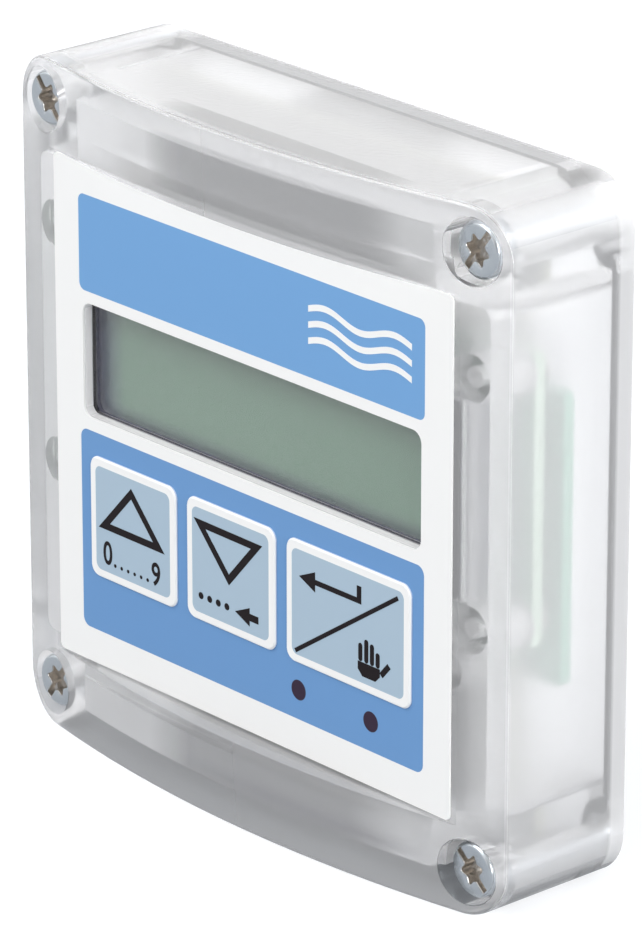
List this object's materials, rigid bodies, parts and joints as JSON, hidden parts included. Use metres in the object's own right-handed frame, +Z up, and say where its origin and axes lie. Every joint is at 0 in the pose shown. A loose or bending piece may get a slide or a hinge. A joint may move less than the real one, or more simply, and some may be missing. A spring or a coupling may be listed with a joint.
{
  "type": "flow batch controller",
  "caption": "Square clear-cased panel controller with a bowed front, a printed key foil, a display window and corner screws.",
  "frame": {"origin": "middle of the rear mounting face of the cover, at the middle of the square of cover screws", "axes": "+X to the right, +Y to the back, out of the rear face into the panel, +Z up, seen from the front"},
  "size_m": [0.088, 0.0272, 0.088],
  "materials": {
    "clear_polycarbonate": "clear polycarbonate, polished outside and finely frosted inside",
    "seal_rubber": "grey silicone, matt",
    "printed_foil": "polyester film printed white and blue, satin",
    "display_cell": "grey-green reflective liquid crystal cell under a polariser",
    "black_bezel": "black painted sheet steel",
    "contact_rubber": "layered conductive rubber",
    "circuit_board": "glass-fibre laminate with green solder mask",
    "dark_laminate": "glass-fibre laminate with black solder mask",
    "zinc_steel": "bright zinc-plated steel",
    "stainless_steel": "stainless steel, turned and tumbled",
    "nickel_brass": "nickel-plated brass",
    "black_plastic": "black moulded plastic",
    "plunger_plastic": "white acetal",
    "tinted_lamp": "dark red tinted epoxy",
    "terminal_plastic": "dark grey moulded polyamide",
    "relay_plastic": "dark blue moulded case",
    "capacitor_can": "aluminium can in a dark blue sleeve"
  },
  "bodies": {
    "case": {"cover": "clear_polycarbonate", "rear_seal": "seal_rubber", "front_foil": "printed_foil", "display_glass": "display_cell", "display_bezel": "black_bezel", "display_contact_strips": "contact_rubber", "display_board": "circuit_board", "display_screws": "zinc_steel", "keypad_board": "dark_laminate", "keypad_screws": "zinc_steel", "status_led_left": "tinted_lamp", "status_led_right": "tinted_lamp", "main_board": "dark_laminate", "board_spacers": "nickel_brass", "main_screws": "zinc_steel", "display_plug": "black_plastic", "keypad_plug": "black_plastic", "terminal_block_upper": "terminal_plastic", "terminal_block_lower": "terminal_plastic", "terminal_screws": "zinc_steel", "relay_upper": "relay_plastic", "relay_lower": "relay_plastic", "supply_capacitor": "capacitor_can", "controller_chip": "black_plastic", "cover_screw_top_left": "stainless_steel", "cover_screw_top_right": "stainless_steel", "cover_screw_bottom_left": "stainless_steel", "cover_screw_bottom_right": "stainless_steel", "key_switch_up": "black_plastic", "key_switch_down": "black_plastic", "key_switch_enter": "black_plastic"},
    "plunger_up": {"key_plunger_up": "plunger_plastic"},
    "plunger_down": {"key_plunger_down": "plunger_plastic"},
    "plunger_enter": {"key_plunger_enter": "plunger_plastic"}
  },
  "joints": [
    {"name": "press_up", "type": "slide", "parent": "case", "child": "plunger_up", "axis": [0, 1, 0], "range_m": [0, 0.00025], "stiffness_N_per_m": 2000},
    {"name": "press_down", "type": "slide", "parent": "case", "child": "plunger_down", "axis": [0, 1, 0], "range_m": [0, 0.00025], "stiffness_N_per_m": 2000},
    {"name": "press_enter", "type": "slide", "parent": "case", "child": "plunger_enter", "axis": [0, 1, 0], "range_m": [0, 0.00025], "stiffness_N_per_m": 2000}
  ]
}
